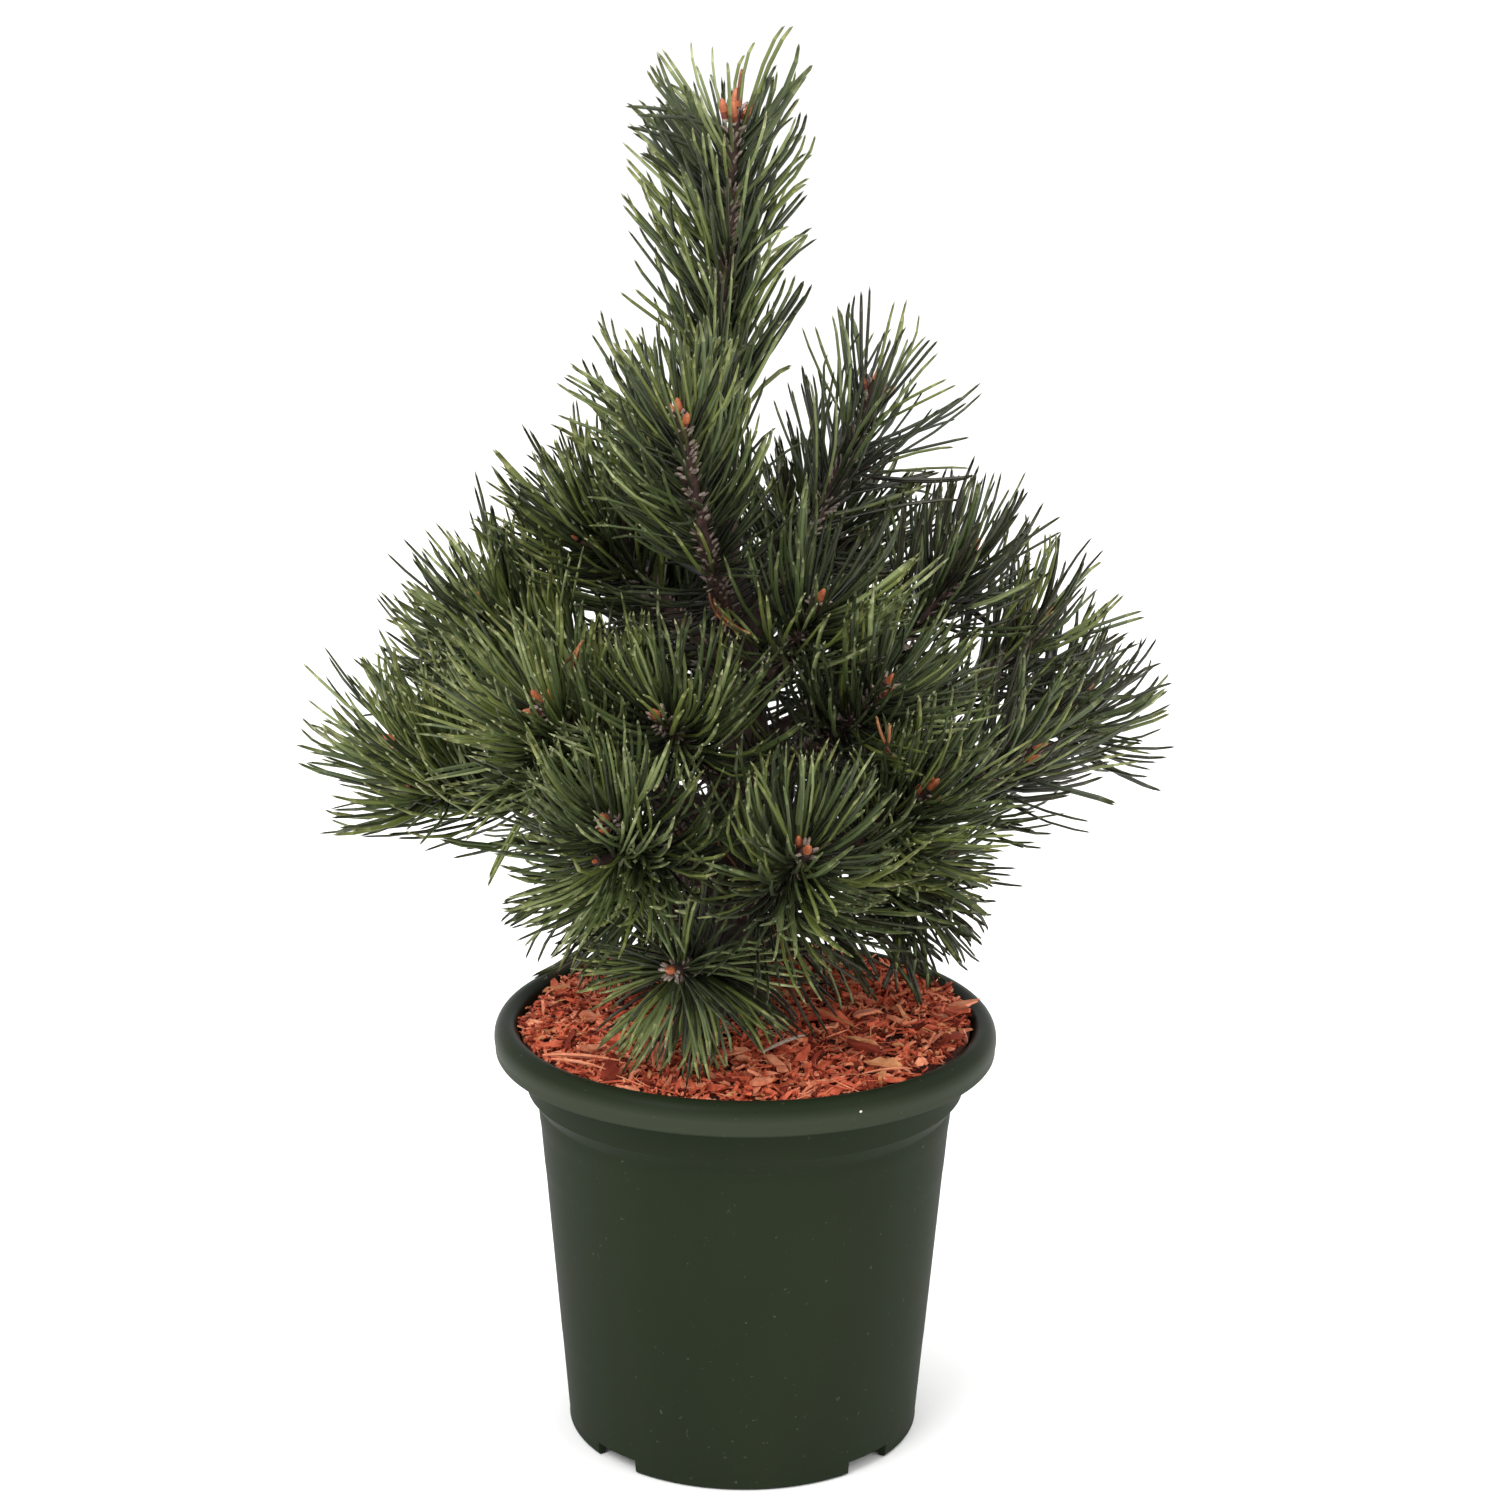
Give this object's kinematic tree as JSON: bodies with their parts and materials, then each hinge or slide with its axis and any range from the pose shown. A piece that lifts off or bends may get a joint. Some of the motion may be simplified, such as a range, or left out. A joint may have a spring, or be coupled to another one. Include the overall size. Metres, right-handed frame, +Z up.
{
  "type": "potted mugo pine",
  "caption": "Young mugo pine with an upright leader and whorls of needled shoots, in a round nursery pot topped with bark mulch.",
  "frame": {"origin": "centre of the pot's flat underside, on the pot's axis", "axes": "+Z up along the pot's axis and the trunk; -Y is the front, the side that the picture shows; +X to the right"},
  "size_m": [0.3275, 0.2817, 0.5331],
  "materials": {
    "pot": "satin",
    "soil": "matte",
    "mulch": "matte",
    "bark": "matte",
    "needles": "satin"
  },
  "bodies": {
    "root": {"pot": "pot", "root_ball": "soil", "mulch": "mulch", "trunk": "bark", "low_front_bough": "bark", "low_left_bough": "bark", "low_right_bough": "bark", "low_back_bough": "bark", "front_right_bough": "bark", "front_left_bough": "bark", "back_right_bough": "bark", "back_left_bough": "bark", "right_front_bough": "bark", "far_right_bough": "bark", "far_left_bough": "bark", "left_front_bough": "bark", "right_back_bough": "bark", "back_middle_bough": "bark", "left_back_bough": "bark", "centre_front_bough": "bark", "right_centre_bough": "bark", "right_outer_bough": "bark", "left_upper_bough": "bark", "right_upper_bough": "bark", "back_upper_right_bough": "bark", "back_upper_left_bough": "bark", "centre_right_bough": "bark", "upper_left_bough": "bark", "upper_front_bough": "bark", "upper_right_bough": "bark", "upper_back_bough": "bark", "leader_foliage": "needles", "low_front_foliage": "needles", "low_left_foliage": "needles", "low_right_foliage": "needles", "low_back_foliage": "needles", "front_right_foliage": "needles", "front_left_foliage": "needles", "back_right_foliage": "needles", "back_left_foliage": "needles", "right_front_foliage": "needles", "far_right_foliage": "needles", "far_left_foliage": "needles", "left_front_foliage": "needles", "right_back_foliage": "needles", "back_middle_foliage": "needles", "left_back_foliage": "needles", "centre_front_foliage": "needles", "right_centre_foliage": "needles", "right_outer_foliage": "needles", "left_upper_foliage": "needles", "right_upper_foliage": "needles", "back_upper_right_foliage": "needles", "back_upper_left_foliage": "needles", "centre_right_foliage": "needles", "upper_left_foliage": "needles", "upper_front_foliage": "needles", "upper_right_foliage": "needles", "upper_back_foliage": "needles"}
  },
  "joints": []
}
